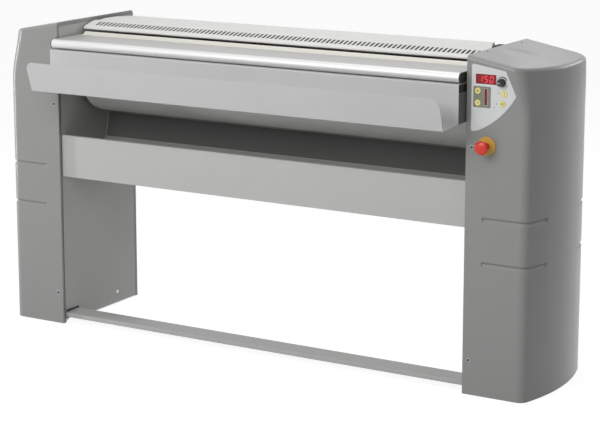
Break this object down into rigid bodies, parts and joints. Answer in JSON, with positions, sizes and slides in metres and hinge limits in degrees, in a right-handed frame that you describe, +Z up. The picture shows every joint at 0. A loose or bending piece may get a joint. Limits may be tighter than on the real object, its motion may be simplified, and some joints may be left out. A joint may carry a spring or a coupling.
{
  "type": "flatwork ironer",
  "caption": "Free-standing flatwork ironer: a padded roll under a slotted hood between two bulging columns, with feed table, laundry tray, collecting trough and a foot bar.",
  "frame": {"origin": "on the floor, midway along the width and the depth of the whole machine", "axes": "+X along the roll to the operator's right, +Y to the rear, +Z up"},
  "size_m": [1.8878, 0.598, 0.9935],
  "materials": {
    "column_paint": "satin grey moulding",
    "plate_steel": "satin grey paint",
    "zinc_steel": "zinc plated",
    "tray_paint": "satin light grey paint",
    "trough_paint": "satin light grey paint",
    "hood_paint": "satin pale grey paint",
    "table_aluminium": "satin anodised",
    "polished_aluminium": "polished",
    "roll_cloth": "woven ironing cloth",
    "cast_iron": "painted",
    "motor_paint": "gloss",
    "pedal_paint": "satin light grey paint",
    "black_plastic": "matt",
    "panel_grey": "matt film",
    "window_dark": "gloss",
    "button_yellow": "gloss",
    "stop_red": "gloss",
    "bar_red": "gloss",
    "board_green": "solder mask",
    "insulation": "mineral wool",
    "rubber": "matt",
    "inverter_grey": "matt"
  },
  "bodies": {
    "frame": {"base_pans": "zinc_steel", "bearing_bolts": "zinc_steel", "cable_gland": "black_plastic", "chest_pivot_bolts": "zinc_steel", "collecting_trough": "trough_paint", "control_board": "board_green", "control_panel": "panel_grey", "cover_screws": "zinc_steel", "cross_tubes": "zinc_steel", "display_window": "window_dark", "drive_chain": "zinc_steel", "estop_contact_block": "black_plastic", "estop_ring": "button_yellow", "feed_table": "table_aluminium", "feed_table_end_caps": "black_plastic", "gearmotor": "motor_paint", "guard_switch": "black_plastic", "hood_hinge_rod": "zinc_steel", "hood_side_buffer": "rubber", "inverter_box": "inverter_grey", "laundry_tray": "tray_paint", "left_column_cover": "column_paint", "left_side_plate": "plate_steel", "level_bar": "bar_red", "leveling_feet": "zinc_steel", "motor_bracket": "zinc_steel", "pedal_pivot_bolts": "zinc_steel", "pedal_springs": "zinc_steel", "rear_panel": "plate_steel", "right_column_cover": "column_paint", "right_side_plate": "plate_steel", "roll_bearings": "cast_iron", "spring_anchors": "zinc_steel", "table_brackets": "zinc_steel", "tray_brackets": "black_plastic"},
    "roll": {"roll_drum": "zinc_steel", "roll_padding": "roll_cloth", "roll_shafts": "zinc_steel", "roll_sprocket": "zinc_steel"},
    "motor": {"motor_sprocket": "zinc_steel", "motor_shaft": "zinc_steel"},
    "chest": {"chest_plate": "polished_aluminium", "heating_elements": "zinc_steel", "chest_insulation": "insulation", "chest_jacket": "zinc_steel", "chest_arms": "zinc_steel", "chest_link_pins": "zinc_steel", "thermostat": "black_plastic"},
    "pedal": {"pedal_bar": "pedal_paint", "pedal_levers": "zinc_steel", "pedal_link_pins": "zinc_steel"},
    "links": {"link_rods": "zinc_steel"},
    "hood": {"hood_cover": "hood_paint"},
    "knob": {"speed_knob": "black_plastic"},
    "plus": {"plus_button": "button_yellow"},
    "minus": {"minus_button": "button_yellow"},
    "start": {"start_button": "button_yellow"},
    "stop": {"stop_button": "button_yellow"},
    "estop_stem_body": {"estop_stem": "stop_red"},
    "estop_head_body": {"estop_head": "stop_red"}
  },
  "joints": [
    {"name": "roll_spin", "type": "hinge", "parent": "frame", "child": "roll", "pos_m": [0, 0.09, 0.8115], "axis": [-1, 0, 0], "continuous": true},
    {"name": "motor_spin", "type": "hinge", "parent": "frame", "child": "motor", "pos_m": [-0.759, 0.09, 0.47334], "axis": [-1, 0, 0], "continuous": true},
    {"name": "chest_swing", "type": "hinge", "parent": "frame", "child": "chest", "pos_m": [0, 0.241, 0.61], "axis": [1, 0, 0], "range_deg": [0, 2.5], "stiffness_Nm_per_rad": 400, "springref_deg": -6.88},
    {"name": "pedal_press", "type": "hinge", "parent": "frame", "child": "pedal", "pos_m": [0, 0.169, 0.045], "axis": [1, 0, 0], "range_deg": [0, 3.4], "deforming": ["pedal_springs"]},
    {"name": "link_turn", "type": "hinge", "parent": "pedal", "child": "links", "pos_m": [0, 0.109, 0.045], "axis": [1, 0, 0], "range_deg": [-3.4, 0]},
    {"name": "hood_lift", "type": "hinge", "parent": "frame", "child": "hood", "pos_m": [0, 0.243, 0.964], "axis": [-1, 0, 0], "range_deg": [0, 3]},
    {"name": "knob_turn", "type": "hinge", "parent": "frame", "child": "knob", "pos_m": [0.828, -0.131, 0.923], "axis": [0, 1, 0], "range_deg": [0, 270]},
    {"name": "plus_press", "type": "slide", "parent": "frame", "child": "plus", "axis": [0, 1, 0], "range_m": [0, 0.001], "stiffness_N_per_m": 100, "springref_m": -0.002},
    {"name": "minus_press", "type": "slide", "parent": "frame", "child": "minus", "axis": [0, 1, 0], "range_m": [0, 0.001], "stiffness_N_per_m": 100, "springref_m": -0.002},
    {"name": "start_press", "type": "slide", "parent": "frame", "child": "start", "axis": [0, 1, 0], "range_m": [0, 0.001], "stiffness_N_per_m": 100, "springref_m": -0.002},
    {"name": "stop_press", "type": "slide", "parent": "frame", "child": "stop", "axis": [0, 1, 0], "range_m": [0, 0.001], "stiffness_N_per_m": 100, "springref_m": -0.002},
    {"name": "estop_push", "type": "slide", "parent": "frame", "child": "estop_stem_body", "axis": [0, 1, 0], "range_m": [0, 0.005]},
    {"name": "estop_twist", "type": "hinge", "parent": "estop_stem_body", "child": "estop_head_body", "pos_m": [0.785, -0.131, 0.74], "axis": [0, 1, 0], "range_deg": [0, 30], "stiffness_Nm_per_rad": 0.05, "springref_deg": -11.46}
  ],
  "couplings": [
    {"joint": "motor_spin", "follows": "roll_spin", "ratio": 2.75},
    {"joint": "pedal_press", "follows": "chest_swing", "ratio": 1.36},
    {"joint": "link_turn", "follows": "chest_swing", "ratio": -1.36}
  ]
}
